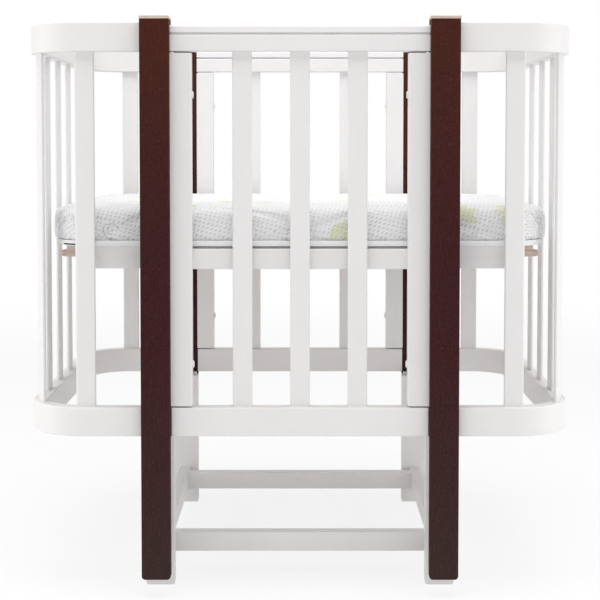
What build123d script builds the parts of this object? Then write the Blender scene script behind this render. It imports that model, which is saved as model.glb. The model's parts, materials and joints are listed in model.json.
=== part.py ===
from build123d import *

import os

# Baby crib: four posts on legs, two ring rails with rounded ends, slatted sides,
# a base of laths that can be set at several heights, and a mattress.
# Millimetres. +X points right, +Y to the back, +Z up.
# The origin is on the floor, in the middle of the four legs.

# ---- driving dimensions -------------------------------------------------------------

# plan of the crib
crib_depth = 660.0              # over the outer faces of the front and back posts
ring_length = 899.0             # over the rounded ends of the ring rails
ring_corner_radius = 97.0       # outer radius of the rings' corners in plan
ring_thickness = 24.0           # of the ring rails and of everything in their plane
ring_height = 47.0              # of one ring rail
ring_edge_radius = 2.0

# heights
lower_ring_bottom = 261.0       # also the top of the legs
upper_ring_top = 931.5
post_rise = 4.0                 # posts stand this much above the upper ring
post_floor_gap = 30.0           # the front posts end this much above the floor
back_post_drop = 12.0           # the back posts end this much below the lower ring

# posts
post_spacing = 466.0            # centre to centre along X, at the front
back_post_extra = 9.0           # the posts at the back stand this much further apart
post_width = 47.0
post_board_thickness = 16.0     # the part that stands proud of the rings
post_foot_radius = 6.0
post_edge_radius = 1.2
post_cap_thickness = 5.0
post_cap_overhang = 0.4

# legs and stretchers
leg_thickness = 22.0            # the legs are as wide as the posts and in line with the front ones
leg_setback = 67.0              # from the outer faces of the posts
leg_edge_radius = 3.0
leg_head_width = 32.0           # the block on a leg's outer side, under the post
leg_head_height = 60.0
stretcher_thickness = 22.0
stretcher_height = 33.0
stretcher_floor_gap = 40.4
side_stretcher_inset = 15.5     # from the inner sides of the legs
cross_stretcher_setback = 118.0  # from the outer faces of the posts
stretcher_edge_radius = 1.5

# slats, all cut from one stock
slat_width = 32.0
slat_thickness = 6.0
slat_edge_radius = 2.5
end_slat_count = 8              # around each rounded end
first_end_slat_distance = 92.0  # from a post's outer side to the middle of the nearest end slat
panel_slat_count = 3
panel_slat_pitch = 93.5         # in the front panel
back_panel_slat_extra = 5.0     # added to the pitch in the back panel

# front and back panels
panel_clearance = 0.3           # at each end of a panel, so that it can be taken out
panel_edge_radius = 2.0
rail_cap_height = 12.4
rail_cap_drop = 4.6             # top of the rail cap below the top of the upper ring
rail_cap_edge_radius = 4.0
rail_groove_height = 3.0        # shadow groove between the top rail and its cap
rail_groove_depth = 4.0

# stiles and their bolts
stile_width = 34.5
stile_end_gap = 2.4             # above and below each stile
bolt_diameter = 6.0
bolt_hole_clearance = 0.1       # all round the shank
bolt_depth_in_post = 26.0
bolt_hole_spare_depth = 2.0
bolt_head_diameter = 12.0
bolt_head_height = 2.8
bolt_head_edge_radius = 2.0
bolt_end_distance = 67.0        # from the ends of the stiles

# mattress base
sleeping_height = 568.5         # underside of the mattress with the base at its highest
seat_gap = 0.3                  # between soft or moving faces and what carries them
lath_count = 7
lath_width = 53.0
lath_thickness = 9.5
lath_end_inset = 12.0           # outermost laths, from the ends of the bearers
bearer_width = 40.0
bearer_thickness = 10.0
bearer_ring_gap = 26.5          # from a bearer's end to the inside of the ring
apron_height = 37.5
apron_thickness = 18.0
support_rail_height = 33.3
support_rail_thickness = 18.0
support_rail_drop = 3.6         # top of the support rails below the top of the aprons
support_rail_end_gap = 3.5      # to the posts
base_edge_radius = 1.5

# mattress
mattress_thickness = 63.0
mattress_corner_radius = 80.0
mattress_end_gap = 5.0          # to the inside of the rings at the rounded ends
mattress_side_gap = 4.0         # to the inside of the rings at the front and back
mattress_edge_radius = 12.0

# ---- sizes that follow ---------------------------------------------------------------

half_depth = crib_depth / 2
ring_outer_y = half_depth - post_board_thickness
ring_inner_y = ring_outer_y - ring_thickness
ring_middle_y = (ring_outer_y + ring_inner_y) / 2
ring_outer_x = ring_length / 2
ring_inner_x = ring_outer_x - ring_thickness
ring_middle_x = (ring_outer_x + ring_inner_x) / 2

lower_ring_top = lower_ring_bottom + ring_height
upper_ring_bottom = upper_ring_top - ring_height
post_top = upper_ring_top + post_rise

leg_inner_x = (post_spacing - post_width) / 2
leg_outer_x = (post_spacing + post_width) / 2
leg_outer_y = half_depth - leg_setback
leg_inner_y = leg_outer_y - leg_thickness
side_stretcher_inner_x = leg_inner_x + side_stretcher_inset
cross_stretcher_outer_y = half_depth - cross_stretcher_setback

rail_cap_top = upper_ring_top - rail_cap_drop
rail_cap_bottom = rail_cap_top - rail_cap_height
top_rail_top = rail_cap_bottom - rail_groove_height

stile_bottom = lower_ring_top + stile_end_gap
stile_top = upper_ring_bottom - stile_end_gap

base_top = sleeping_height - seat_gap
bearer_top = base_top - lath_thickness
support_rail_outer_y = ring_inner_y - seat_gap
apron_outer_y = support_rail_outer_y - support_rail_thickness
apron_inner_y = apron_outer_y - apron_thickness
apron_half_length = ring_outer_x - ring_corner_radius
bearer_half_length = ring_inner_x - bearer_ring_gap
outer_lath_x = bearer_half_length - lath_end_inset - lath_width / 2

SIDES = {"left": -1, "right": 1}
FACES = {"front": -1, "back": 1}


# ---- helpers ---------------------------------------------------------------------------

def block(xs, ys, zs):
    """A box between two X, two Y and two Z values, given in any order."""
    low = [min(pair) for pair in (xs, ys, zs)]
    size = [abs(pair[1] - pair[0]) for pair in (xs, ys, zs)]
    return Pos(*low) * Box(*size, align=(Align.MIN, Align.MIN, Align.MIN))


def eased(solid, axis, radius):
    """The solid with its edges along one axis rounded."""
    return fillet(solid.edges().filter_by(axis), radius)


def spread(count, pitch):
    """Positions of evenly spaced pieces, centred on zero."""
    return [(index - (count - 1) / 2) * pitch for index in range(count)]


def post_inner_x(face):
    """Distance from the middle of the crib to the inner sides of one face's posts."""
    extra = 0 if face < 0 else back_post_extra
    return (post_spacing + extra - post_width) / 2


def post_outer_x(face):
    """Distance from the middle of the crib to the outer sides of one face's posts."""
    return post_inner_x(face) + post_width


def panel_width(face):
    """The two ends of the panel of one face, as X values."""
    half = post_inner_x(face) - panel_clearance
    return -half, half


def slat():
    """One upright slat, flat side towards Y, from the lower rails to the upper rails."""
    height = upper_ring_bottom - lower_ring_top
    bar = Pos(0, 0, lower_ring_top + height / 2) * Box(slat_width, slat_thickness, height)
    return eased(bar, Axis.Z, slat_edge_radius)


def bolt_places():
    """Axis point at the head's seat of each bolt, with the direction of its shank."""
    return [(side * (post_inner_x(face) - stile_width), face * ring_middle_y, height, side)
            for side in SIDES.values() for face in FACES.values()
            for height in (stile_bottom + bolt_end_distance, stile_top - bolt_end_distance)]


def sideways_cylinder(x_from, x_to, y, z, radius):
    """A cylinder along X between two X values."""
    middle = (x_from + x_to) / 2
    return Pos(middle, y, z) * Rot(0, 90, 0) * Cylinder(radius, abs(x_to - x_from))


# ---- frame -----------------------------------------------------------------------------

def bolt_holes():
    """The drillings for all stile bolts, through the stiles and into the posts."""
    reach = stile_width + bolt_depth_in_post + bolt_hole_spare_depth
    radius = bolt_diameter / 2 + bolt_hole_clearance
    return [sideways_cylinder(x, x + side * reach, y, z, radius)
            for x, y, z, side in bolt_places()]


def post(side, face):
    """A board with rounded lower corners, thickened behind from the lower ring upwards."""
    xs = (side * post_inner_x(face), side * post_outer_x(face))
    bottom = post_floor_gap if face < 0 else lower_ring_bottom - back_post_drop
    board = block(xs, (face * half_depth, face * ring_outer_y), (bottom, post_top))
    lower_corners = board.edges().filter_by(Axis.Y).group_by(Axis.Z)[0]
    board = fillet(lower_corners, post_foot_radius)
    core = block(xs, (face * ring_outer_y, face * ring_inner_y), (lower_ring_bottom, post_top))
    outer_edges = (board + core).edges().filter_by(Axis.Z).sort_by(Axis.Y)
    outer_edges = outer_edges[:2] if face < 0 else outer_edges[-2:]
    return fillet(outer_edges, post_edge_radius) - bolt_holes()


def post_cap(side, face):
    """The thin cap on top of one post."""
    over = post_cap_overhang
    xs = (side * (post_inner_x(face) - over), side * (post_outer_x(face) + over))
    ys = (face * (half_depth + over), face * (ring_inner_y - over))
    cap = block(xs, ys, (post_top, post_top + post_cap_thickness))
    return fillet(cap.edges().group_by(Axis.Z)[-1], post_cap_thickness / 4)


def leg(side, face):
    """A leg on the floor inside a post, with a head that reaches out under the post."""
    bar = block((side * leg_inner_x, side * leg_outer_x),
                (face * leg_outer_y, face * leg_inner_y), (0, lower_ring_bottom))
    lower_corners = bar.edges().filter_by(Axis.Y).group_by(Axis.Z)[0]
    middle = side * post_spacing / 2
    head = block((middle - leg_head_width / 2, middle + leg_head_width / 2),
                 (face * ring_outer_y, face * leg_outer_y),
                 (lower_ring_bottom - leg_head_height, lower_ring_bottom))
    return fillet(lower_corners, leg_edge_radius) + head


def ring_end(side, bottom):
    """Half a ring rail: from a front post round to the back post on the same side."""
    outer = RectangleRounded(2 * ring_outer_x, 2 * ring_outer_y, ring_corner_radius)
    inner = RectangleRounded(2 * ring_inner_x, 2 * ring_inner_y, ring_corner_radius - ring_thickness)
    middles = [Pos(0, face * half_depth) * Rectangle(2 * post_outer_x(face), crib_depth)
               for face in FACES.values()]
    plan = (outer - inner - middles).faces().sort_by(Axis.X)
    plan = plan[-1] if side > 0 else plan[0]
    rail = extrude(Pos(0, 0, bottom) * plan, amount=ring_height, dir=(0, 0, 1))
    level_edges = rail.edges().group_by(Axis.Z)
    rims = (level_edges[0] + level_edges[-1]).filter_by(lambda edge: edge.length > 1.01 * ring_thickness)
    return fillet(rims, ring_edge_radius)


def end_slats(side):
    """The slats of one rounded end, evenly spaced from the first to the last."""
    path = FilletPolyline((side * post_outer_x(-1), -ring_middle_y),
                          (side * ring_middle_x, -ring_middle_y),
                          (side * ring_middle_x, ring_middle_y),
                          (side * post_outer_x(1), ring_middle_y),
                          radius=ring_corner_radius - ring_thickness / 2)
    first = first_end_slat_distance / path.length
    pitch = (1 - 2 * first) / (end_slat_count - 1)
    slats = []
    for number in range(end_slat_count):
        along = first + number * pitch
        place = path @ along
        turn = Vector(1, 0, 0).get_signed_angle(path % along, Vector(0, 0, 1))
        slats.append(Pos(place.X, place.Y, 0) * Rot(0, 0, turn) * slat())
    return slats


def stile(side, face):
    """An upright against the inner side of a post, between the panel rails."""
    outer_x = post_inner_x(face)
    bar = block((side * (outer_x - stile_width), side * outer_x),
                (face * ring_outer_y, face * ring_inner_y), (stile_bottom, stile_top))
    inner_edges = bar.edges().filter_by(Axis.Z).sort_by(Axis.X)
    inner_edges = inner_edges[:2] if side > 0 else inner_edges[-2:]
    return fillet(inner_edges, panel_edge_radius) - bolt_holes()


def stile_bolt(x, y, z, side):
    """A round-headed bolt through a stile into its post."""
    shank_end = x + side * (stile_width + bolt_depth_in_post)
    shank = sideways_cylinder(x, shank_end, y, z, bolt_diameter / 2)
    head = sideways_cylinder(x - side * bolt_head_height, x, y, z, bolt_head_diameter / 2)
    rim = head.edges().filter_by(GeomType.CIRCLE).sort_by(Axis.X)
    head = fillet(rim[0] if side > 0 else rim[-1], bolt_head_edge_radius)
    return head + shank


def side_stretcher(side):
    """A low bar between the front and back legs of one side."""
    bar = block((side * side_stretcher_inner_x, side * (side_stretcher_inner_x + stretcher_thickness)),
                (-leg_inner_y, leg_inner_y),
                (stretcher_floor_gap, stretcher_floor_gap + stretcher_height))
    return eased(bar, Axis.Y, stretcher_edge_radius)


def cross_stretcher(face):
    """A low bar between the two side stretchers."""
    bar = block((-side_stretcher_inner_x, side_stretcher_inner_x),
                (face * cross_stretcher_outer_y, face * (cross_stretcher_outer_y - stretcher_thickness)),
                (stretcher_floor_gap, stretcher_floor_gap + stretcher_height))
    return eased(bar, Axis.X, stretcher_edge_radius)


# ---- front and back panels ---------------------------------------------------------------

def panel_bottom_rail(face):
    """The lower rail of a panel, between the posts, with soft corners at its ends."""
    bar = block(panel_width(face), (face * ring_outer_y, face * ring_inner_y),
                (lower_ring_bottom, lower_ring_top))
    lower_corners = bar.edges().filter_by(Axis.Y).group_by(Axis.Z)[0]
    return eased(fillet(lower_corners, panel_edge_radius), Axis.X, panel_edge_radius)


def panel_top_rail(face):
    """The upper rail of a panel, with a narrower tongue under the rail cap."""
    width = panel_width(face)
    bar = eased(block(width, (face * ring_outer_y, face * ring_inner_y),
                      (upper_ring_bottom, top_rail_top)), Axis.X, panel_edge_radius)
    tongue = block(width, (face * (ring_outer_y - rail_groove_depth),
                           face * (ring_inner_y + rail_groove_depth)),
                   (top_rail_top, rail_cap_bottom))
    return bar + tongue


def panel_rail_cap(face):
    """The smooth rounded strip along the top of a panel."""
    bar = block(panel_width(face), (face * ring_outer_y, face * ring_inner_y),
                (rail_cap_bottom, rail_cap_top))
    levels = bar.edges().filter_by(Axis.X).group_by(Axis.Z)
    bar = fillet(levels[-1], rail_cap_edge_radius)
    lower_edges = bar.edges().filter_by(Axis.X).group_by(Axis.Z)[0]
    return fillet(lower_edges, rail_cap_edge_radius / 4)


def panel_slats(face):
    """The slats between the rails of a panel."""
    pitch = panel_slat_pitch if face < 0 else panel_slat_pitch + back_panel_slat_extra
    return [Pos(x, face * ring_middle_y, 0) * slat() for x in spread(panel_slat_count, pitch)]


# ---- mattress base and mattress ------------------------------------------------------------

def support_rail(face):
    """The rail that carries the base on the two stiles of one face."""
    half_length = post_inner_x(face) - support_rail_end_gap
    top = base_top - support_rail_drop
    bar = block((-half_length, half_length), (face * support_rail_outer_y, face * apron_outer_y),
                (top - support_rail_height, top))
    return eased(bar, Axis.X, base_edge_radius)


def apron(face):
    """The long board along one side of the base."""
    bar = block((-apron_half_length, apron_half_length),
                (face * apron_outer_y, face * apron_inner_y), (base_top - apron_height, base_top))
    return eased(bar, Axis.X, base_edge_radius)


def bearer(face):
    """A flat bar with round ends inside an apron, under the ends of the laths."""
    middle_y = face * (apron_inner_y - bearer_width / 2)
    plan = SlotOverall(2 * bearer_half_length, bearer_width)
    bar = extrude(Pos(0, middle_y, bearer_top - bearer_thickness) * plan, amount=bearer_thickness)
    return fillet(bar.edges().group_by(Axis.Z)[-1] + bar.edges().group_by(Axis.Z)[0], base_edge_radius)


def laths():
    """The flat bars across the base, on the bearers and between the aprons."""
    pitch = 2 * outer_lath_x / (lath_count - 1)
    lath = block((-lath_width / 2, lath_width / 2), (-apron_inner_y, apron_inner_y), (bearer_top, base_top))
    lath = eased(lath, Axis.Y, base_edge_radius)
    return [Pos(x, 0, 0) * lath for x in spread(lath_count, pitch)]


def mattress():
    """A foam mattress with round corners in plan."""
    plan = RectangleRounded(2 * (ring_inner_x - mattress_end_gap),
                            2 * (ring_inner_y - mattress_side_gap), mattress_corner_radius)
    pad = extrude(Pos(0, 0, sleeping_height) * plan, amount=mattress_thickness)
    rims = pad.edges().group_by(Axis.Z)
    return fillet(rims[0] + rims[-1], mattress_edge_radius)


# ---- all nodes ---------------------------------------------------------------------------------

def all_nodes():
    """Every node of the crib by name."""
    nodes = {}
    for face_name, face in FACES.items():
        for side_name, side in SIDES.items():
            corner = f"{face_name}_{side_name}"
            nodes[f"post_{corner}"] = post(side, face)
            nodes[f"leg_{corner}"] = leg(side, face)
            nodes[f"stile_{corner}"] = stile(side, face)
        nodes[f"{face_name}_top_rail"] = panel_top_rail(face)
        nodes[f"{face_name}_rail_cap"] = panel_rail_cap(face)
        nodes[f"{face_name}_bottom_rail"] = panel_bottom_rail(face)
        for number, piece in enumerate(panel_slats(face), start=1):
            nodes[f"{face_name}_slat_{number}"] = piece
        nodes[f"cross_stretcher_{face_name}"] = cross_stretcher(face)
        nodes[f"base_support_rail_{face_name}"] = support_rail(face)
        nodes[f"base_apron_{face_name}"] = apron(face)
        nodes[f"base_bearer_{face_name}"] = bearer(face)
    for side_name, side in SIDES.items():
        nodes[f"lower_ring_{side_name}"] = ring_end(side, lower_ring_bottom)
        nodes[f"upper_ring_{side_name}"] = ring_end(side, upper_ring_bottom)
        nodes[f"side_stretcher_{side_name}"] = side_stretcher(side)
        for number, piece in enumerate(end_slats(side), start=1):
            nodes[f"{side_name}_end_slat_{number}"] = piece
    nodes["post_caps"] = Compound(
        [post_cap(side, face) for side in SIDES.values() for face in FACES.values()])
    nodes["stile_bolts"] = Compound([stile_bolt(*place) for place in bolt_places()])
    nodes["base_laths"] = Compound(laths())
    nodes["mattress"] = mattress()
    return nodes


os.makedirs("parts", exist_ok=True)
for name, shape in all_nodes().items():
    export_step(shape, f"parts/{name}.step")
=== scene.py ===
"""Dresses a packed baby crib: painted and stained wood, a quilted mattress and a pale studio.

The solids of the frame, the panels and the base keep their own meshes and get worked finishes.
The mattress is made here, as a swollen and quilted cover with a base panel and a zip end.
Lengths are metres: +X points right, +Y to the back and +Z up, with the floor at zero.
"""

import json
import logging
import math
from dataclasses import dataclass, field
from enum import Enum
from typing import Callable, Iterable, Sequence

import bmesh
import bpy
import numpy as np
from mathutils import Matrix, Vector


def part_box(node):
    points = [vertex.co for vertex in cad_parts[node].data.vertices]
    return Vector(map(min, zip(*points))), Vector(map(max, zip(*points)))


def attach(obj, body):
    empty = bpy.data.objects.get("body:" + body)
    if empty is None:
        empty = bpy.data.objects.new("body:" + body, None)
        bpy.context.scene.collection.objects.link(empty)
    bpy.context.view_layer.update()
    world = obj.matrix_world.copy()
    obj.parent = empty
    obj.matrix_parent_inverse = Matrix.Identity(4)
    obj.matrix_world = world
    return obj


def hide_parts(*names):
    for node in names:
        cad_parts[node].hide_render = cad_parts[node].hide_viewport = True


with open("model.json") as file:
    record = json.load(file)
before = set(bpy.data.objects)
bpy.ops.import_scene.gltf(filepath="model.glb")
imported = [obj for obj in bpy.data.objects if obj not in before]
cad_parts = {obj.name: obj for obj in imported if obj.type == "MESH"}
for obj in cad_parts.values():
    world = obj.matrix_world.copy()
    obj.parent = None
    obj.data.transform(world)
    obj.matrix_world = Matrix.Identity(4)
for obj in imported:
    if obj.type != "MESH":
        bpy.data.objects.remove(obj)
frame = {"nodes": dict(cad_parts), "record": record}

LOG = logging.getLogger("crib")

# Heights that differ by less than this count as level.
LEVEL = 1e-4

Colour = tuple[float, float, float]
Socket = bpy.types.NodeSocket
Value = Socket | float | Sequence[float]


# ---- small tools ---------------------------------------------------------------------------


class Run(Enum):
    """The direction in which the fibres of a piece of wood run."""

    ALONG_X = "x"
    ALONG_Y = "y"
    UPRIGHT = "z"


def srgb(red: int, green: int, blue: int) -> Colour:
    """Turns an 8-bit display colour into the linear one that shaders use.

    Args:
        red: Red from 0 to 255.
        green: Green from 0 to 255.
        blue: Blue from 0 to 255.

    Returns:
        The three linear values from 0 to 1.
    """
    shares = (red / 255, green / 255, blue / 255)
    return tuple(c / 12.92 if c <= 0.04045 else ((c + 0.055) / 1.055) ** 2.4 for c in shares)


def opaque(colour: Colour) -> tuple[float, float, float, float]:
    """The colour with an alpha of one, as colour sockets need it."""
    return (*colour, 1.0)


def deselect_all() -> None:
    """Leaves object mode's selection empty, so that an operator acts only on what is chosen next."""
    bpy.ops.object.select_all(action="DESELECT")


def make_active(obj: bpy.types.Object) -> None:
    """Selects one object alone and makes it the active one."""
    deselect_all()
    obj.select_set(True)
    bpy.context.view_layer.objects.active = obj


def select_edges(obj: bpy.types.Object, test: Callable[[Vector, Vector], bool]) -> None:
    """Selects the edges whose two ends pass a test, in edit mode.

    Args:
        obj: The mesh object, already in edit mode.
        test: Takes the two end points and says whether the edge is wanted.
    """
    mesh = bmesh.from_edit_mesh(obj.data)
    for element in (*mesh.verts, *mesh.edges, *mesh.faces):
        element.select = False
    for edge in mesh.edges:
        if test(edge.verts[0].co, edge.verts[1].co):
            edge.select_set(True)
    bmesh.update_edit_mesh(obj.data)


def apply_modifiers(obj: bpy.types.Object) -> None:
    """Applies every modifier of an object in order."""
    make_active(obj)
    for modifier in list(obj.modifiers):
        bpy.ops.object.modifier_apply(modifier=modifier.name)


def read_points(mesh: bpy.types.Mesh) -> np.ndarray:
    """The vertices of a mesh as rows of x, y and z."""
    points = np.zeros(len(mesh.vertices) * 3, np.float64)
    mesh.vertices.foreach_get("co", points)
    return points.reshape(-1, 3)


def write_points(mesh: bpy.types.Mesh, points: np.ndarray) -> None:
    """Moves the vertices of a mesh to rows of x, y and z."""
    mesh.vertices.foreach_set("co", points.astype(np.float32).ravel())
    mesh.update()


# ---- shader building ---------------------------------------------------------------------


class Graph:
    """A thin wrapper round a node tree that adds and joins nodes in few words."""

    def __init__(self, tree: bpy.types.NodeTree) -> None:
        """Keeps the tree.

        Args:
            tree: The node tree to build in.
        """
        self.tree = tree

    def add(self, kind: str, inputs: dict | None = None, **settings) -> bpy.types.Node:
        """Adds a node.

        Args:
            kind: The node's type name.
            inputs: Values or output sockets by input name or number.
            **settings: Attributes of the node itself.

        Returns:
            The new node.
        """
        node = self.tree.nodes.new(kind)
        for name, value in settings.items():
            setattr(node, name, value)
        for key, value in (inputs or {}).items():
            self.feed(node.inputs[key], value)
        return node

    def feed(self, socket: Socket, value: Value) -> None:
        """Links an output into a socket, or sets the socket to a constant."""
        if isinstance(value, Socket):
            self.tree.links.new(value, socket)
        else:
            socket.default_value = value

    def math(self, operation: str, first: Value, second: Value = 0.0, clamp: bool = False) -> Socket:
        """Adds a math node and returns its result.

        Args:
            operation: The node's operation.
            first: The first value or socket.
            second: The second value or socket.
            clamp: Whether the result is held between zero and one.

        Returns:
            The output socket.
        """
        node = self.add("ShaderNodeMath", {0: first, 1: second}, operation=operation, use_clamp=clamp)
        return node.outputs[0]

    def scaled(self, value: Value, factor: Value, offset: float) -> Socket:
        """Multiplies a value by a factor and adds an offset."""
        node = self.add("ShaderNodeMath", {0: value, 1: factor, 2: offset}, operation="MULTIPLY_ADD")
        return node.outputs[0]

    def bump(self, height: Socket, depth: float, strength: float, under: Socket | None = None) -> Socket:
        """Turns a height into a normal.

        Args:
            height: The height's socket, from zero to one.
            depth: What a height of one stands for, in metres.
            strength: How much of the relief shows.
            under: The normal of a coarser relief below this one.

        Returns:
            The normal's socket.
        """
        inputs = {"Height": height, "Distance": depth, "Strength": strength}
        if under is not None:
            inputs["Normal"] = under
        return self.add("ShaderNodeBump", inputs).outputs[0]

    def seen(self) -> Socket:
        """One for rays from the camera, a shiny surface or glass, and zero for light that is cast."""
        rays = self.add("ShaderNodeLightPath").outputs
        direct = self.math("MAXIMUM", rays["Is Camera Ray"], rays["Is Glossy Ray"])
        return self.math("MAXIMUM", direct, rays["Is Transmission Ray"])

    def mix(self, share: Value, low: Value, high: Value) -> Socket:
        """Mixes two colours by a share and returns the result."""
        node = self.add("ShaderNodeMix", data_type="RGBA")
        self.feed(node.inputs[0], share)
        self.feed(node.inputs[6], low)
        self.feed(node.inputs[7], high)
        return node.outputs[2]

    def noise(self, vector: Value, scale: float, detail: float, roughness: float = 0.5) -> Socket:
        """Adds a noise texture and returns its value."""
        inputs = {"Vector": vector, "Scale": scale, "Detail": detail, "Roughness": roughness}
        return self.add("ShaderNodeTexNoise", inputs).outputs[0]

    def ramp(self, value: Value, stops: Sequence[tuple[float, float]]) -> Socket:
        """Maps a value through grey stops.

        Args:
            value: The socket to map.
            stops: Pairs of position and grey level, in order.

        Returns:
            The mapped value's socket.
        """
        node = self.add("ShaderNodeValToRGB", {0: value})
        marks = node.color_ramp.elements
        while len(marks) < len(stops):
            marks.new(0.5)
        for mark, (place, grey) in zip(marks, stops):
            mark.position = place
            mark.color = (grey, grey, grey, 1)
        return node.outputs[0]


def new_group(name: str, inputs: dict[str, float | None], outputs: Iterable[tuple[str, str]]) -> Graph:
    """Starts a shader node group with named sockets.

    Args:
        name: The group's name.
        inputs: Default value by input name, or None for a vector input.
        outputs: Pairs of output name and socket type.

    Returns:
        A graph on the group's tree, with its input and output nodes added.
    """
    tree = bpy.data.node_groups.new(name, "ShaderNodeTree")
    for key, value in inputs.items():
        kind = "NodeSocketVector" if value is None else "NodeSocketFloat"
        socket = tree.interface.new_socket(key, in_out="INPUT", socket_type=kind)
        if value is not None:
            socket.default_value = value
    for key, kind in outputs:
        tree.interface.new_socket(key, in_out="OUTPUT", socket_type=kind)
    graph = Graph(tree)
    graph.source = graph.add("NodeGroupInput").outputs
    graph.result = graph.add("NodeGroupOutput").inputs
    return graph


def fibre_group() -> bpy.types.NodeTree:
    """Builds the grain that all woods share: long fibres, short pores and a slow figure.

    The group's Vector runs along the fibres in its Z.

    Returns:
        The node group, with outputs Fibre, Pores and Figure, each from zero to one.
    """
    inputs = {"Vector": None, "Fineness": 900.0, "Length": 30.0, "Figure Size": 9.0}
    outputs = [(name, "NodeSocketFloat") for name in ("Fibre", "Pores", "Figure")]
    graph = new_group("wood_fibre", inputs, outputs)
    place = graph.source["Vector"]
    fine, length = graph.source["Fineness"], graph.source["Length"]
    stretch = graph.add("ShaderNodeCombineXYZ", {0: fine, 1: fine, 2: length}).outputs[0]
    fibres = graph.add("ShaderNodeVectorMath", {0: place, 1: stretch}, operation="MULTIPLY").outputs[0]
    fibre = graph.noise(fibres, 1.0, 4.0, 0.6)
    graph.feed(graph.result["Fibre"], graph.ramp(fibre, [(0.3, 0.0), (0.7, 1.0)]))
    shorter = graph.math("MULTIPLY", length, 5.0)
    pore_scale = graph.add("ShaderNodeCombineXYZ", {0: fine, 1: fine, 2: shorter}).outputs[0]
    stretched = graph.add("ShaderNodeVectorMath", {0: place, 1: pore_scale}, operation="MULTIPLY")
    pores = graph.noise(stretched.outputs[0], 1.3, 2.0, 0.4)
    graph.feed(graph.result["Pores"], graph.ramp(pores, [(0.58, 0.0), (0.72, 1.0)]))
    squash = graph.add("ShaderNodeMapping", {"Vector": place, "Scale": (1.0, 1.0, 0.14)}).outputs[0]
    waves = {"Vector": squash, "Scale": graph.source["Figure Size"], "Detail": 3.0, "Distortion": 0.6}
    figure = graph.add("ShaderNodeTexNoise", waves).outputs[0]
    graph.feed(graph.result["Figure"], graph.ramp(figure, [(0.3, 0.0), (0.7, 1.0)]))
    return graph.tree


def film_group() -> bpy.types.NodeTree:
    """Builds the unevenness of a painted or lacquered film: slow waves, fine peel and rare dust.

    Returns:
        The node group, with outputs Height and Tone, each from zero to one.
    """
    graph = new_group("paint_film", {"Vector": None, "Peel": 420.0, "Wave": 14.0},
                      [("Height", "NodeSocketFloat"), ("Tone", "NodeSocketFloat")])
    place = graph.source["Vector"]
    peel = graph.add("ShaderNodeTexNoise", {"Vector": place, "Scale": graph.source["Peel"], "Detail": 2.0})
    wave = graph.add("ShaderNodeTexNoise", {"Vector": place, "Scale": graph.source["Wave"], "Detail": 2.0})
    graph.feed(graph.result["Tone"], wave.outputs[0])
    total = graph.math("ADD", graph.math("MULTIPLY", peel.outputs[0], 0.7),
                       graph.math("MULTIPLY", wave.outputs[0], 0.3))
    graph.feed(graph.result["Height"], total)
    return graph.tree


class Shared:
    """The node groups that several finishes use."""

    def __init__(self) -> None:
        """Builds each group once."""
        self.fibre = fibre_group()
        self.film = film_group()


TURN_TO_UPRIGHT = {
    Run.ALONG_X: (0.0, -math.pi / 2, 0.0),
    Run.ALONG_Y: (math.pi / 2, 0.0, 0.0),
    Run.UPRIGHT: (0.0, 0.0, 0.0),
}


class Finish:
    """What every finish has: a material with one surface shader, and its working graph."""

    name: str = "finish"

    def start(self, suffix: str = "") -> tuple[bpy.types.Material, Graph, bpy.types.Node]:
        """Makes an empty material.

        Args:
            suffix: Added to the finish's name.

        Returns:
            The material, a graph on its tree, and its surface shader.
        """
        material = bpy.data.materials.new(self.name + suffix)
        material.use_nodes = True
        graph = Graph(material.node_tree)
        return material, graph, material.node_tree.nodes["Principled BSDF"]

    def grain_place(self, graph: Graph, run: Run) -> Socket:
        """Object coordinates turned so that the fibres run along their Z."""
        here = graph.add("ShaderNodeTexCoord").outputs["Object"]
        turned = graph.add("ShaderNodeMapping", {"Vector": here, "Rotation": TURN_TO_UPRIGHT[run]})
        return turned.outputs[0]


@dataclass(frozen=True)
class WhitePaint(Finish):
    """A satin white paint with an uneven tone that lets a little of the grain show as relief, and as
    painted shade in the grain's hollows.
    """

    name: str = "white_paint"
    colour: Colour = (0.80, 0.79, 0.785)
    # Partly the paint's own uneven tone, partly painted shade where the grain lies low.
    mottle_and_hollow_shade: Colour = (0.74, 0.727, 0.722)
    fineness: float = 420.0
    fibre_share: float = 0.25
    film_share: float = 0.6
    roughness: float = 0.36
    roughness_swing: float = 0.12
    grain_depth: float = 0.00010
    grain_strength: float = 0.5
    film_depth: float = 0.00005
    film_strength: float = 0.6

    def material(self, shared: Shared, run: Run) -> bpy.types.Material:
        """Builds the paint for pieces whose fibres run one way.

        Args:
            shared: The shared node groups.
            run: The direction of the fibres.

        Returns:
            The material.
        """
        material, graph, shader = self.start("_" + run.value)
        place = self.grain_place(graph, run)
        fibre = graph.add("ShaderNodeGroup", {}, node_tree=shared.fibre)
        graph.feed(fibre.inputs["Vector"], place)
        graph.feed(fibre.inputs["Fineness"], self.fineness)
        film = graph.add("ShaderNodeGroup", {}, node_tree=shared.film)
        graph.feed(film.inputs["Vector"], place)
        # Darker where the film's tone is low, which is the paint's own mottle, and where the fibres lie
        # low, which is painted shade in the grain's hollows.
        tone = graph.math("ADD", graph.math("MULTIPLY", fibre.outputs["Fibre"], self.fibre_share),
                          graph.math("MULTIPLY", film.outputs["Tone"], self.film_share), clamp=True)
        paint = graph.mix(tone, opaque(self.mottle_and_hollow_shade), opaque(self.colour))
        graph.feed(shader.inputs["Base Color"], paint)
        rough = graph.scaled(film.outputs["Tone"], self.roughness_swing, self.roughness)
        graph.feed(shader.inputs["Roughness"], rough)
        grain = graph.bump(fibre.outputs["Fibre"], self.grain_depth, self.grain_strength)
        skin = graph.bump(film.outputs["Height"], self.film_depth, self.film_strength, grain)
        graph.feed(shader.inputs["Normal"], skin)
        return material


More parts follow.
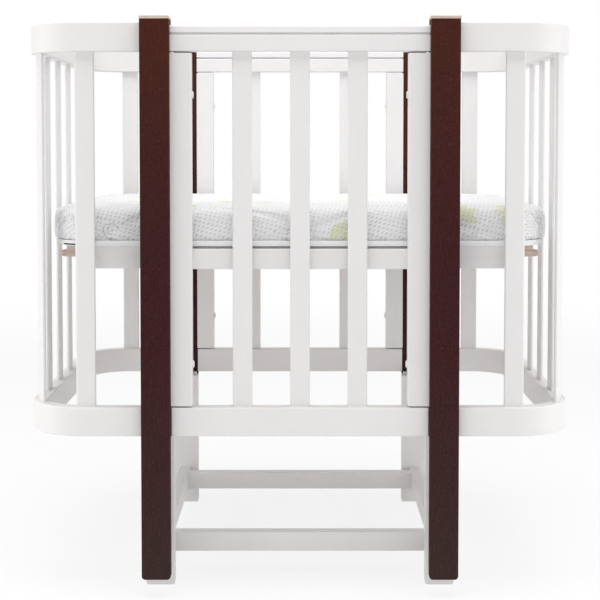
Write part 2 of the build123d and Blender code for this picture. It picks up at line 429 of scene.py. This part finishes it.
@dataclass(frozen=True)
class RailCover(Finish):
    """The smooth moulded strip along the top rails."""

    name: str = "rail_cover"
    colour: Colour = (0.80, 0.785, 0.80)
    worn_colour: Colour = (0.76, 0.745, 0.76)
    peel: float = 900.0
    roughness: float = 0.3
    film_depth: float = 0.00004
    film_strength: float = 0.5

    def material(self, shared: Shared) -> bpy.types.Material:
        """Builds the moulded finish."""
        material, graph, shader = self.start()
        film = graph.add("ShaderNodeGroup", {}, node_tree=shared.film)
        graph.feed(film.inputs["Vector"], graph.add("ShaderNodeTexCoord").outputs["Object"])
        graph.feed(film.inputs["Peel"], self.peel)
        moulded = graph.mix(film.outputs["Tone"], opaque(self.worn_colour), opaque(self.colour))
        graph.feed(shader.inputs["Base Color"], moulded)
        shader.inputs["Roughness"].default_value = self.roughness
        skin = graph.bump(film.outputs["Height"], self.film_depth, self.film_strength)
        graph.feed(shader.inputs["Normal"], skin)
        return material


@dataclass(frozen=True)
class StainedWood(Finish):
    """A dark reddish stain on open-pored wood, redder towards the top of the posts."""

    name: str = "stained_wood"
    low: tuple[Colour, Colour] = (srgb(42, 31, 29), srgb(64, 48, 45))
    middle: tuple[Colour, Colour] = (srgb(42, 15, 18), srgb(68, 30, 33))
    high: tuple[Colour, Colour] = (srgb(54, 22, 13), srgb(82, 38, 24))
    fleck: Colour = srgb(104, 72, 64)
    middle_from: float = 0.05
    middle_to: float = 0.40
    high_from: float = 0.55
    high_to: float = 0.90
    figure_share: float = 0.3
    pore_share: float = 0.4
    roughness: float = 0.52
    roughness_swing: float = 0.2
    specular: float = 0.1
    grain_depth: float = 0.00035
    grain_strength: float = 0.7

    def material(self, shared: Shared) -> bpy.types.Material:
        """Builds the stain."""
        material, graph, shader = self.start()
        place = self.grain_place(graph, Run.UPRIGHT)
        fibre = graph.add("ShaderNodeGroup", {}, node_tree=shared.fibre)
        graph.feed(fibre.inputs["Vector"], place)
        height = graph.add("ShaderNodeSeparateXYZ", {0: place}).outputs[2]
        low, middle, high = (graph.mix(fibre.outputs["Fibre"], opaque(dark), opaque(light))
                             for dark, light in (self.low, self.middle, self.high))
        to_middle = graph.add("ShaderNodeMapRange", {0: height, 1: self.middle_from, 2: self.middle_to})
        to_high = graph.add("ShaderNodeMapRange", {0: height, 1: self.high_from, 2: self.high_to})
        wood = graph.mix(to_high.outputs[0], graph.mix(to_middle.outputs[0], low, middle), high)
        figure = graph.math("MULTIPLY", fibre.outputs["Figure"], self.figure_share)
        shade = graph.mix(figure, wood, opaque(self.middle[0]))
        pores = graph.math("MULTIPLY", fibre.outputs["Pores"], self.pore_share)
        graph.feed(shader.inputs["Base Color"], graph.mix(pores, shade, opaque(self.fleck)))
        rough = graph.scaled(fibre.outputs["Fibre"], self.roughness_swing, self.roughness)
        graph.feed(shader.inputs["Roughness"], rough)
        shader.inputs["Specular IOR Level"].default_value = self.specular
        grain = graph.bump(fibre.outputs["Fibre"], self.grain_depth, self.grain_strength)
        graph.feed(shader.inputs["Normal"], grain)
        return material


@dataclass(frozen=True)
class BareWood(Finish):
    """Light close-grained wood under a matt lacquer."""

    name: str = "bare_wood"
    dark: Colour = srgb(182, 156, 142)
    light: Colour = srgb(222, 204, 192)
    fleck: Colour = srgb(150, 116, 96)
    fineness: float = 500.0
    fibre_length: float = 18.0
    fibre_share: float = 0.6
    figure_share: float = 0.4
    pore_share: float = 0.5
    roughness: float = 0.5
    grain_depth: float = 0.00015
    grain_strength: float = 0.5

    def material(self, shared: Shared, run: Run) -> bpy.types.Material:
        """Builds the lacquered wood for one direction of the fibres."""
        material, graph, shader = self.start("_" + run.value)
        fibre = graph.add("ShaderNodeGroup", {}, node_tree=shared.fibre)
        graph.feed(fibre.inputs["Vector"], self.grain_place(graph, run))
        graph.feed(fibre.inputs["Fineness"], self.fineness)
        graph.feed(fibre.inputs["Length"], self.fibre_length)
        share = graph.math("ADD", graph.math("MULTIPLY", fibre.outputs["Fibre"], self.fibre_share),
                           graph.math("MULTIPLY", fibre.outputs["Figure"], self.figure_share), clamp=True)
        wood = graph.mix(share, opaque(self.dark), opaque(self.light))
        pores = graph.math("MULTIPLY", fibre.outputs["Pores"], self.pore_share)
        graph.feed(shader.inputs["Base Color"], graph.mix(pores, wood, opaque(self.fleck)))
        shader.inputs["Roughness"].default_value = self.roughness
        grain = graph.bump(fibre.outputs["Fibre"], self.grain_depth, self.grain_strength)
        graph.feed(shader.inputs["Normal"], grain)
        return material


@dataclass(frozen=True)
class KnitCover(Finish):
    """A white quilted knit with rows of slanted dents painted darker as shade, and soft printed leaves and
    rings.
    """

    name: str = "knit_cover"
    ground: Colour = (0.80, 0.80, 0.81)
    # The grey painted into the dents as their shade.
    dent_shade: Colour = (0.52, 0.52, 0.54)
    ring: Colour = srgb(168, 168, 174)
    leaf: Colour = srgb(203, 206, 140)
    dent_pitch: float = 0.0102
    dent_length: float = 0.0056
    dent_width: float = 0.0023
    dent_slant: float = math.radians(-32)
    # How far the painted shade darkens the dents.
    dent_shade_share: float = 0.62
    dent_relief: float = 0.8
    motif_pitch: float = 0.135
    motif_start: tuple[float, float, float] = (0.35, 0.20, 0.0)
    leaf_length: float = 0.040
    leaf_width: float = 0.0095
    leaf_spread: tuple[float, ...] = (-0.75, 0.0, 0.75)
    hatch_pitch: float = 0.0042
    ring_radii: tuple[float, ...] = (0.006, 0.0125)
    ring_width: float = 0.0016
    ring_share: float = 0.6
    leaf_share: float = 0.85
    leaf_chance: float = 0.55
    roughness: float = 0.85
    sheen: float = 0.15
    sheen_roughness: float = 0.5
    loops_per_metre: float = 900.0
    loop_depth: float = 0.0004
    loop_strength: float = 0.35
    dent_depth: float = 0.0014

    def dents(self, graph: Graph, place: Value) -> Socket:
        """A mask of short slanted dents on a staggered grid.

        Args:
            graph: The graph to build in.
            place: Positions on the cloth, in metres.

        Returns:
            The mask's socket, from zero to one.
        """
        turned = graph.add("ShaderNodeMapping", {"Vector": place, "Rotation": (0, 0, self.dent_slant)})
        axes = graph.add("ShaderNodeSeparateXYZ", {0: turned.outputs[0]})
        row = graph.math("DIVIDE", axes.outputs[1], self.dent_pitch / 2)
        stagger = graph.math("MULTIPLY", graph.math("FLOOR", row), 0.5)
        column = graph.math("ADD", graph.math("DIVIDE", axes.outputs[0], self.dent_pitch), stagger)
        across = graph.math("SUBTRACT", graph.math("FRACT", row), 0.5)
        along = graph.math("SUBTRACT", graph.math("FRACT", column), 0.5)
        across_share = graph.math("MULTIPLY", across, self.dent_pitch / self.dent_width)
        along_share = graph.math("MULTIPLY", along, 2 * self.dent_pitch / self.dent_length)
        reach = graph.math("ADD", graph.math("POWER", graph.math("ABSOLUTE", across_share), 2.0),
                           graph.math("POWER", graph.math("ABSOLUTE", along_share), 2.0))
        return graph.add("ShaderNodeMapRange", {0: reach, 1: 1.6, 2: 0.1}).outputs[0]

    def leaves(self, graph: Graph, local: Value, turn: Value) -> Socket:
        """A mask of a spray of hatched leaves round a point.

        Args:
            graph: The graph to build in.
            local: Positions from that point, in metres.
            turn: The angle of the spray.

        Returns:
            The mask's socket, from zero to one.
        """
        total = 0.0
        for lean in self.leaf_spread:
            angle = graph.math("ADD", turn, lean)
            turned = {"Vector": local, "Angle": angle}
            spun = graph.add("ShaderNodeVectorRotate", turned, rotation_type="Z_AXIS")
            axes = graph.add("ShaderNodeSeparateXYZ", {0: spun.outputs[0]})
            half = self.leaf_length / 2
            along = graph.math("SUBTRACT", axes.outputs[0], half * 1.15)
            across = graph.math("ABSOLUTE", axes.outputs[1])
            share = graph.math("DIVIDE", along, half)
            swell = graph.math("SUBTRACT", 1.0, graph.math("MULTIPLY", share, share))
            edge = graph.math("SUBTRACT", graph.math("MULTIPLY", swell, self.leaf_width), across)
            inside = graph.add("ShaderNodeMapRange", {0: edge, 1: 0.0, 2: 0.0012}).outputs[0]
            slope = graph.math("SUBTRACT", along, across)
            wave = graph.math("SINE", graph.math("MULTIPLY", slope, 2 * math.pi / self.hatch_pitch))
            hatch = graph.add("ShaderNodeMapRange", {0: wave, 1: -0.6, 2: 0.5, 3: 0.3, 4: 1.0}).outputs[0]
            total = graph.math("MAXIMUM", total, graph.math("MULTIPLY", inside, hatch))
        return total

    def rings(self, graph: Graph, distance: Value) -> Socket:
        """A mask of thin rings round a point.

        Args:
            graph: The graph to build in.
            distance: Distance from that point, in metres.

        Returns:
            The mask's socket, from zero to one.
        """
        total = 0.0
        for radius in self.ring_radii:
            away = graph.math("ABSOLUTE", graph.math("SUBTRACT", distance, radius))
            line = graph.add("ShaderNodeMapRange", {0: away, 1: self.ring_width, 2: self.ring_width / 3})
            total = graph.math("MAXIMUM", total, line.outputs[0])
        return total

    def motifs(self, graph: Graph, place: Value) -> tuple[Socket, Socket]:
        """Masks of the printed leaves and rings, one kind in each cell of a loose grid.

        Args:
            graph: The graph to build in.
            place: Positions on the cloth, in metres.

        Returns:
            The masks of the leaves and of the rings, from zero to one.
        """
        grid = {"Vector": place, "Scale": 1 / self.motif_pitch, "Randomness": 0.5}
        cells = graph.add("ShaderNodeTexVoronoi", grid, voronoi_dimensions="2D").outputs
        centre = cells["Position"]
        local = graph.add("ShaderNodeVectorMath", {0: place, 1: centre}, operation="SUBTRACT").outputs[0]
        chance = graph.add("ShaderNodeSeparateColor", {0: cells["Color"]})
        is_leaf = graph.math("GREATER_THAN", chance.outputs[1], 1 - self.leaf_chance)
        turn = graph.math("MULTIPLY", chance.outputs[0], 2 * math.pi)
        distance = graph.add("ShaderNodeVectorMath", {0: local}, operation="LENGTH").outputs["Value"]
        leaves = graph.math("MULTIPLY", self.leaves(graph, local, turn), is_leaf)
        rings = graph.math("MULTIPLY", self.rings(graph, distance), graph.math("SUBTRACT", 1.0, is_leaf))
        return leaves, rings

    def material(self) -> bpy.types.Material:
        """Builds the cloth, which follows the map named cloth.

        Returns:
            The material.
        """
        material, graph, shader = self.start()
        place = graph.add("ShaderNodeUVMap", uv_map="cloth").outputs[0]
        dents = self.dents(graph, place)
        patch = graph.ramp(graph.noise(place, 9.0, 1.0), [(0.35, 0.45), (0.6, 1.0)])
        # Painted shade: the dents are darkened towards the grey in random patches, as well as pressed in
        # by the bump below.
        marks = graph.math("MULTIPLY", dents, graph.math("MULTIPLY", patch, self.dent_shade_share))
        cloth = graph.mix(marks, opaque(self.ground), opaque(self.dent_shade))
        moved = graph.add("ShaderNodeMapping", {"Vector": place, "Location": self.motif_start}).outputs[0]
        leaves, rings = self.motifs(graph, moved)
        stipple = graph.ramp(graph.noise(place, 420.0, 2.0), [(0.35, 0.7), (0.65, 1.0)])
        broken = graph.ramp(graph.noise(place, 55.0, 1.0), [(0.42, 0.0), (0.5, 1.0)])
        ring_ink = graph.math("MULTIPLY", graph.math("MULTIPLY", rings, broken), self.ring_share)
        leaf_ink = graph.math("MULTIPLY", graph.math("MULTIPLY", leaves, stipple), self.leaf_share)
        ringed = graph.mix(ring_ink, cloth, opaque(self.ring))
        graph.feed(shader.inputs["Base Color"], graph.mix(leaf_ink, ringed, opaque(self.leaf)))
        shader.inputs["Roughness"].default_value = self.roughness
        shader.inputs["Sheen Weight"].default_value = self.sheen
        shader.inputs["Sheen Roughness"].default_value = self.sheen_roughness
        stitches = {"Vector": place, "Scale": self.loops_per_metre, "Randomness": 0.35}
        loops = graph.add("ShaderNodeTexVoronoi", stitches, voronoi_dimensions="2D").outputs["Distance"]
        fine = graph.bump(loops, self.loop_depth, self.loop_strength)
        relief = graph.math("SUBTRACT", 1.0, dents)
        graph.feed(shader.inputs["Normal"], graph.bump(relief, self.dent_depth, self.dent_relief, fine))
        return material


@dataclass(frozen=True)
class ZipTape(Finish):
    """The dark ribbed tape of a zip."""

    name: str = "zip_tape"
    rib: Colour = srgb(30, 28, 28)
    gap: Colour = srgb(12, 11, 12)
    pitch: float = 0.0011
    roughness: float = 0.8
    rib_depth: float = 0.0002
    rib_strength: float = 0.5

    def material(self) -> bpy.types.Material:
        """Builds the ribs on Object coordinates."""
        material, graph, shader = self.start()
        here = graph.add("ShaderNodeTexCoord").outputs["Object"]
        ribs = graph.add("ShaderNodeTexChecker", {"Vector": here, "Scale": 1 / self.pitch}).outputs[1]
        wear = graph.noise(here, 60.0, 2.0)
        share = graph.math("MULTIPLY", ribs, wear)
        graph.feed(shader.inputs["Base Color"], graph.mix(share, opaque(self.gap), opaque(self.rib)))
        shader.inputs["Roughness"].default_value = self.roughness
        graph.feed(shader.inputs["Normal"], graph.bump(ribs, self.rib_depth, self.rib_strength))
        return material


# ---- the solids -----------------------------------------------------------------------------


class Fibres:
    """Which way the wood runs in each solid, by the words in its name."""

    upright = ("post_front", "post_back", "leg_", "stile_front", "stile_back", "_slat_")
    across = ("side_stretcher", "base_laths")

    @classmethod
    def of(cls, node: str) -> Run:
        """The fibre direction of one solid.

        Args:
            node: The solid's name.

        Returns:
            The direction.
        """
        if any(word in node for word in cls.upright):
            return Run.UPRIGHT
        return Run.ALONG_Y if any(word in node for word in cls.across) else Run.ALONG_X


@dataclass
class Woodwork:
    """The frame, the panels and the base, whose solids keep their shape and get their finish."""

    shared: Shared
    paint: WhitePaint = WhitePaint()
    cover: RailCover = RailCover()
    stain: StainedWood = StainedWood()
    bare: BareWood = BareWood()
    made: dict = field(default_factory=dict)

    def finish_for(self, slot: str, run: Run) -> bpy.types.Material:
        """The material for a slot and a fibre direction, built when it is first needed.

        Args:
            slot: The solid's material slot.
            run: The direction of its fibres.

        Returns:
            The material.
        """
        builders = {
            "white_paint": lambda: self.paint.material(self.shared, run),
            "white_cap": lambda: self.cover.material(self.shared),
            "dark_wood": lambda: self.stain.material(self.shared),
            "natural_wood": lambda: self.bare.material(self.shared, run),
        }
        key = (slot, run)
        if key not in self.made:
            self.made[key] = builders[slot]()
        return self.made[key]

    def dress(self, node: str, slot: str) -> None:
        """Gives one solid its finish.

        Args:
            node: The solid's name.
            slot: Its material slot.
        """
        solid = frame["nodes"][node]
        solid.data.materials.clear()
        solid.data.materials.append(self.finish_for(slot, Fibres.of(node)))
        LOG.info("%s dressed as %s", node, slot)


# ---- the mattress -----------------------------------------------------------------------------


@dataclass
class Mattress:
    """A foam pad in a quilted cover on a thin base panel, with a zip that ends at one corner."""

    node: str = "mattress"
    body: str = "mattress"
    plan_radius: float = 0.080
    shoulder: float = 0.016
    start_inset: float = 0.0015
    voxel: float = 0.0068
    pressure: float = 4.0
    frames: int = 20
    most_move: float = 0.0035
    crown: float = 0.0015
    base_height: float = 0.0088
    base_edge: float = 0.0011
    base_inset: float = 0.0008
    base_end_inset: float = 0.0085
    base_overlap: float = 0.0018
    quilt_pitch: float = 0.105
    quilt_slope: float = 0.36
    quilt_depth: float = 0.0034
    quilt_width: float = 0.0055
    quilt_sway: float = 0.006
    quilt_sway_length: float = 0.21
    gather_depth: float = 0.0011
    gather_count: float = 9.0
    gather_lean: float = 0.25
    gather_waves: float = 5.0
    zip_height: float = 0.0025
    zip_thickness: float = 0.0022
    zip_from: float = 28.0
    zip_to: float = 46.0
    flat_margin: float = 0.030
    low: Vector = field(init=False)
    high: Vector = field(init=False)
    knit: bpy.types.Material = field(init=False)
    band: bpy.types.Material = field(init=False)

    def __post_init__(self) -> None:
        """Reads the space that the mattress fills and makes its two cloths."""
        self.low, self.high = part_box(self.node)
        self.knit = KnitCover().material()
        # The base cloth carries only a little of the painted dent shade and dent relief.
        self.band = KnitCover(name="base_cloth", dent_shade_share=0.10, dent_relief=0.15).material()

    def block(self) -> bpy.types.Object:
        """Makes the plain pad: a box with round corners in plan and soft shoulders.

        Returns:
            The mesh object.
        """
        low = self.low + Vector((0, 0, self.base_height - self.base_overlap))
        middle = (low + self.high) / 2
        size = self.high - low - Vector((2, 2, 1)) * self.start_inset
        deselect_all()
        bpy.ops.mesh.primitive_cube_add(size=1, location=middle, scale=size)
        pad = bpy.context.active_object
        pad.name = "mattress_cover"
        bpy.ops.object.transform_apply(location=True, rotation=True, scale=True)
        bpy.ops.object.mode_set(mode="EDIT")
        select_edges(pad, lambda a, b: abs(a.z - b.z) > size.z / 2)
        bpy.ops.mesh.bevel(offset=self.plan_radius, segments=14)
        top, bottom = middle.z + size.z / 2, middle.z - size.z / 2
        select_edges(pad, lambda a, b: min(a.z, b.z) > top - LEVEL)
        bpy.ops.mesh.bevel(offset=self.shoulder, segments=6)
        select_edges(pad, lambda a, b: max(a.z, b.z) < bottom + LEVEL)
        bpy.ops.mesh.bevel(offset=self.shoulder / 3, segments=3)
        bpy.ops.object.mode_set(mode="OBJECT")
        return pad

    def swell(self, pad: bpy.types.Object) -> None:
        """Remeshes the pad evenly and lets pressure round it, as foam does its cover.

        Args:
            pad: The plain pad.
        """
        make_active(pad)
        remesh = pad.modifiers.new("even", "REMESH")
        remesh.mode = "VOXEL"
        remesh.voxel_size = self.voxel
        bpy.ops.object.modifier_apply(modifier=remesh.name)
        rest = read_points(pad.data)
        cloth = pad.modifiers.new("swell", "CLOTH")
        cloth.settings.use_pressure = True
        cloth.settings.uniform_pressure_force = self.pressure
        cloth.settings.effector_weights.gravity = 0
        cloth.settings.quality = 4
        scene = bpy.context.scene
        for number in range(1, self.frames + 1):
            scene.frame_set(number)
        bpy.ops.object.modifier_apply(modifier=cloth.name)
        scene.frame_set(1)
        moved = read_points(pad.data) - rest
        length = np.linalg.norm(moved, axis=1, keepdims=True)
        moved *= np.minimum(1.0, self.most_move / np.maximum(length, 1e-9))
        write_points(pad.data, rest + moved)

    def cloth_map(self, points: np.ndarray) -> np.ndarray:
        """Unrolls the cover: the top lies flat, and the sides fold out from it.

        Args:
            points: Positions on the cover.

        Returns:
            Rows of two lengths on the cloth, in metres.
        """
        reach = self.plan_radius + self.flat_margin / 2
        limits = np.array([self.high.x - reach, self.high.y - reach])
        plan = points[:, :2]
        held = np.clip(plan, -limits, limits)
        out = plan - held
        length = np.linalg.norm(out, axis=1, keepdims=True)
        direction = out / np.maximum(length, 1e-9)
        drop = np.maximum(self.high.z - points[:, 2:3], 0) * np.clip(length / self.flat_margin, 0, 1)
        return held + direction * (length + drop)

    def quilt(self, pad: bpy.types.Object) -> None:
        """Presses the sewn channels and the folds at the corners into the cover, and crowns its top.

        Args:
            pad: The swollen pad.
        """
        points = read_points(pad.data)
        normals = np.zeros(points.size, np.float64)
        pad.data.vertices.foreach_get("normal", normals)
        normals = normals.reshape(-1, 3)
        cloth = self.cloth_map(points)
        sway = self.quilt_sway * np.sin(cloth[:, 0] * 2 * math.pi / self.quilt_sway_length)
        depth = np.zeros(len(points))
        for sign in (1, -1):
            across = (cloth[:, 1] + sign * cloth[:, 0] * self.quilt_slope + sway) / self.quilt_pitch
            away = np.abs(across - np.round(across)) * self.quilt_pitch
            depth = np.maximum(depth, self.quilt_depth * np.exp(-((away / self.quilt_width) ** 2)))
        depth *= np.clip((points[:, 2] - self.low.z - self.base_height) / self.quilt_width, 0, 1)
        across_x = np.clip(points[:, 0] / self.high.x, -1, 1)
        across_y = np.clip(points[:, 1] / self.high.y, -1, 1)
        lift = self.crown * (1 - across_x**4) * (1 - across_y**4)
        upper = np.clip((points[:, 2] - self.low.z) / (self.high.z - self.low.z), 0, 1)
        depth += self.gathers(points)
        points = points - normals * depth[:, None]
        points[:, 2] += lift * upper
        points[:, 2] = np.maximum(points[:, 2], self.low.z + self.base_height - self.base_overlap)
        write_points(pad.data, points)

    def gathers(self, points: np.ndarray) -> np.ndarray:
        """How deep the cover's small folds are at its corners, where the cloth is drawn in.

        Args:
            points: Positions on the cover.

        Returns:
            A depth for each position.
        """
        limits = np.array([self.high.x - self.plan_radius, self.high.y - self.plan_radius])
        out = np.maximum(np.abs(points[:, :2]) - limits, 0)
        turn = np.arctan2(out[:, 0], out[:, 1])
        corner = np.sin(2 * turn) ** 2 * np.clip(np.linalg.norm(out, axis=1) / self.plan_radius, 0, 1) ** 4
        upper = np.clip((points[:, 2] - self.low.z) / (self.high.z - self.low.z), 0, 1)
        lean = turn + self.gather_lean * np.sin(self.gather_waves * upper)
        folds = 1 + np.sin(lean * 2 * self.gather_count)
        return self.gather_depth * corner * folds * (1 - 0.5 * upper)

    def add_cloth_map(self, pad: bpy.types.Object) -> None:
        """Stores the unrolled positions as the map that the cloth's pattern follows."""
        layer = pad.data.uv_layers.new(name="cloth")
        corners = np.zeros(len(pad.data.loops), np.int64)
        pad.data.loops.foreach_get("vertex_index", corners)
        flat = self.cloth_map(read_points(pad.data))[corners]
        layer.data.foreach_set("uv", flat.astype(np.float32).ravel())

    def cover(self) -> bpy.types.Object:
        """Makes the finished quilted cover.

        Returns:
            The mesh object.
        """
        pad = self.block()
        self.swell(pad)
        fine = pad.modifiers.new("fine", "SUBSURF")
        fine.levels = fine.render_levels = 1
        apply_modifiers(pad)
        self.quilt(pad)
        self.add_cloth_map(pad)
        pad.data.materials.clear()
        pad.data.materials.append(self.knit)
        bpy.ops.object.shade_smooth()
        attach(pad, self.body)
        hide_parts(self.node)
        LOG.info("%s made with %d faces", pad.name, len(pad.data.polygons))
        return pad

    def base_panel(self) -> bpy.types.Object:
        """Makes the cover's base, a thin panel whose upper edge meets the padded part in a seam.

        Returns:
            The mesh object.
        """
        deselect_all()
        bpy.ops.mesh.primitive_plane_add(size=1, location=(0, 0, self.low.z))
        panel = bpy.context.active_object
        panel.name = "mattress_base_panel"
        panel.scale = (2 * (self.high.x - self.base_end_inset), 2 * (self.high.y - self.base_inset), 1)
        bpy.ops.object.transform_apply(location=True, rotation=True, scale=True)
        bpy.ops.object.mode_set(mode="EDIT")
        bpy.ops.mesh.select_all(action="SELECT")
        bpy.ops.mesh.bevel(offset=self.plan_radius - self.base_inset, segments=16, affect="VERTICES")
        bpy.ops.mesh.select_all(action="SELECT")
        bpy.ops.mesh.extrude_region_move(TRANSFORM_OT_translate={"value": (0, 0, self.base_height)})
        bpy.ops.mesh.select_all(action="SELECT")
        bpy.ops.mesh.normals_make_consistent(inside=False)
        bpy.ops.object.mode_set(mode="OBJECT")
        edge = panel.modifiers.new("edge", "BEVEL")
        edge.width = self.base_edge
        edge.segments = 3
        edge.angle_limit = math.radians(50)
        apply_modifiers(panel)
        bpy.ops.object.shade_smooth_by_angle(angle=math.radians(40))
        self.add_cloth_map(panel)
        panel.data.materials.append(self.band)
        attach(panel, self.body)
        LOG.info("%s made", panel.name)
        return panel

    def corner_arc(self, first: float, last: float, count: int) -> list[Vector]:
        """Points on the mattress's outline, on its front left corner.

        Args:
            first: The first angle past the front, in degrees.
            last: The last angle, in degrees.
            count: How many points.

        Returns:
            The points, level with the zip.
        """
        inset = Vector((self.base_end_inset + self.plan_radius, self.plan_radius, self.zip_height))
        centre = self.low + inset
        angles = [math.radians(first + (last - first) * step / (count - 1)) for step in range(count)]
        return [centre + self.plan_radius * Vector((-math.sin(a), -math.cos(a), 0)) for a in angles]

    def zip_end(self) -> bpy.types.Object:
        """Makes the end of the cover's zip, a dark tape at the foot of the front left corner.

        Returns:
            The mesh object.
        """
        deselect_all()
        bpy.ops.curve.primitive_nurbs_path_add(radius=1, location=(0, 0, 0))
        line = bpy.context.active_object
        line.name = "mattress_zip_end"
        route = self.corner_arc(self.zip_from, self.zip_to, len(line.data.splines[0].points))
        for point, place in zip(line.data.splines[0].points, route):
            point.co = (*place, 1)
        line.data.bevel_depth = self.zip_thickness / 2
        line.data.bevel_resolution = 3
        line.data.use_fill_caps = True
        bpy.ops.object.convert(target="MESH")
        tape = bpy.context.active_object
        bpy.ops.object.shade_smooth_by_angle(angle=math.radians(40))
        tape.data.materials.clear()
        tape.data.materials.append(ZipTape().material())
        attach(tape, self.body)
        LOG.info("%s made", tape.name)
        return tape


# ---- the studio ------------------------------------------------------------------------------


@dataclass(frozen=True)
class Lamp:
    """A broad rectangular lamp, with its size in metres and its power in watts."""

    name: str
    place: tuple[float, float, float]
    aim: tuple[float, float, float]
    size: tuple[float, float]
    power: float

    def hang(self) -> None:
        """Adds the lamp to the room, facing its aim."""
        data = bpy.data.lights.new(self.name, "AREA")
        data.shape = "RECTANGLE"
        data.size, data.size_y = self.size
        data.energy = self.power
        lamp = bpy.data.objects.new(self.name, data)
        bpy.context.scene.collection.objects.link(lamp)
        lamp.location = self.place
        lamp.rotation_euler = (Vector(self.aim) - Vector(self.place)).to_track_quat("-Z", "Y").to_euler()


@dataclass
class Studio:
    """A white room with broad soft lamps, and the camera."""

    lens: float = 78.0
    sensor: float = 36.0
    camera_distance: float = 2.078
    camera_height: float = 0.7365
    pitch_down: float = 2.39
    shift_y: float = -0.1703
    floor_size: float = 30.0
    floor_tones: tuple[Colour, Colour] = ((0.90, 0.90, 0.90), (0.94, 0.94, 0.94))
    floor_glow: float = 0.78
    floor_fade: tuple[float, float] = (1.2, 4.0)
    ambient: float = 0.53
    lamps: tuple[Lamp, ...] = (
        Lamp("overhead", (0, -0.4, 2.5), (0, 0.1, 0.5), (2.8, 1.8), 46.0),
        Lamp("front", (0, -3.4, 0.8), (0, 0, 0.35), (3.6, 1.4), 14.0),
        Lamp("left", (-1.8, -0.45, 0.5), (0, 0.3, 0.4), (0.9, 1.2), 9.0),
        Lamp("right", (1.8, -0.45, 0.5), (0, 0.3, 0.4), (0.9, 1.2), 9.0),
    )

    def floor(self) -> None:
        """Lays a wide pale floor that keeps the crib's shadow and fades to white further out."""
        deselect_all()
        bpy.ops.mesh.primitive_plane_add(size=self.floor_size, location=(0, 0, 0))
        plane = bpy.context.active_object
        plane.name = "studio_floor"
        material = bpy.data.materials.new("studio_floor")
        material.use_nodes = True
        graph = Graph(material.node_tree)
        material.node_tree.nodes.remove(material.node_tree.nodes["Principled BSDF"])
        out = material.node_tree.nodes["Material Output"]
        here = graph.add("ShaderNodeTexCoord").outputs["Object"]
        tone = graph.noise(here, 3.0, 2.0)
        pale = graph.mix(tone, *(opaque(colour) for colour in self.floor_tones))
        matt = graph.add("ShaderNodeBsdfDiffuse", {"Color": pale}).outputs[0]
        glow = graph.add("ShaderNodeEmission", {"Color": (1, 1, 1, 1), "Strength": 1.0}).outputs[0]
        reach = graph.add("ShaderNodeVectorMath", {0: here}, operation="LENGTH").outputs["Value"]
        near, far = self.floor_fade
        fade = {0: reach, 1: near, 2: far, 3: self.floor_glow, 4: 1.0}
        glow_share = graph.add("ShaderNodeMapRange", fade, interpolation_type="SMOOTHSTEP").outputs[0]
        share = graph.math("MULTIPLY", graph.seen(), glow_share)
        mixed = graph.add("ShaderNodeMixShader", {0: share, 1: matt, 2: glow})
        graph.feed(out.inputs[0], mixed.outputs[0])
        plane.data.materials.append(material)

    def world(self) -> None:
        """Fills the room with even light and shows it as white."""
        world = bpy.data.worlds.new("studio_air")
        world.use_nodes = True
        bpy.context.scene.world = world
        graph = Graph(world.node_tree)
        background = world.node_tree.nodes["Background"]
        background.inputs["Color"].default_value = (1, 1, 1, 1)
        strength = graph.scaled(graph.seen(), 1 - self.ambient, self.ambient)
        graph.feed(background.inputs["Strength"], strength)

    def camera(self, front: float) -> None:
        """Stands the camera in front of the crib.

        Args:
            front: The Y of the crib's front face.
        """
        data = bpy.data.cameras.new("camera")
        data.lens = self.lens
        data.sensor_width = self.sensor
        data.shift_y = self.shift_y
        eye = bpy.data.objects.new("camera", data)
        bpy.context.scene.collection.objects.link(eye)
        eye.location = (0, front - self.camera_distance, self.camera_height)
        eye.rotation_euler = (math.radians(90 - self.pitch_down), 0, 0)
        bpy.context.scene.camera = eye
        bpy.context.scene.view_settings.view_transform = "Standard"


def main() -> None:
    """Builds the studio and dresses the crib, part by part."""
    logging.basicConfig(level=logging.INFO, format="%(name)s: %(message)s")
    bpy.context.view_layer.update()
    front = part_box("post_front_left")[0].y
    studio = Studio()
    studio.camera(front)
    studio.floor()
    studio.world()
    for lamp in studio.lamps:
        lamp.hang()
    woodwork = Woodwork(Shared())
    for entry in frame["record"]["subparts"]:
        if entry["material_slot"] != "mattress_cover":
            woodwork.dress(entry["node"], entry["material_slot"])
    mattress = Mattress()
    mattress.cover()
    mattress.base_panel()
    mattress.zip_end()


if __name__ == "__main__":
    main()
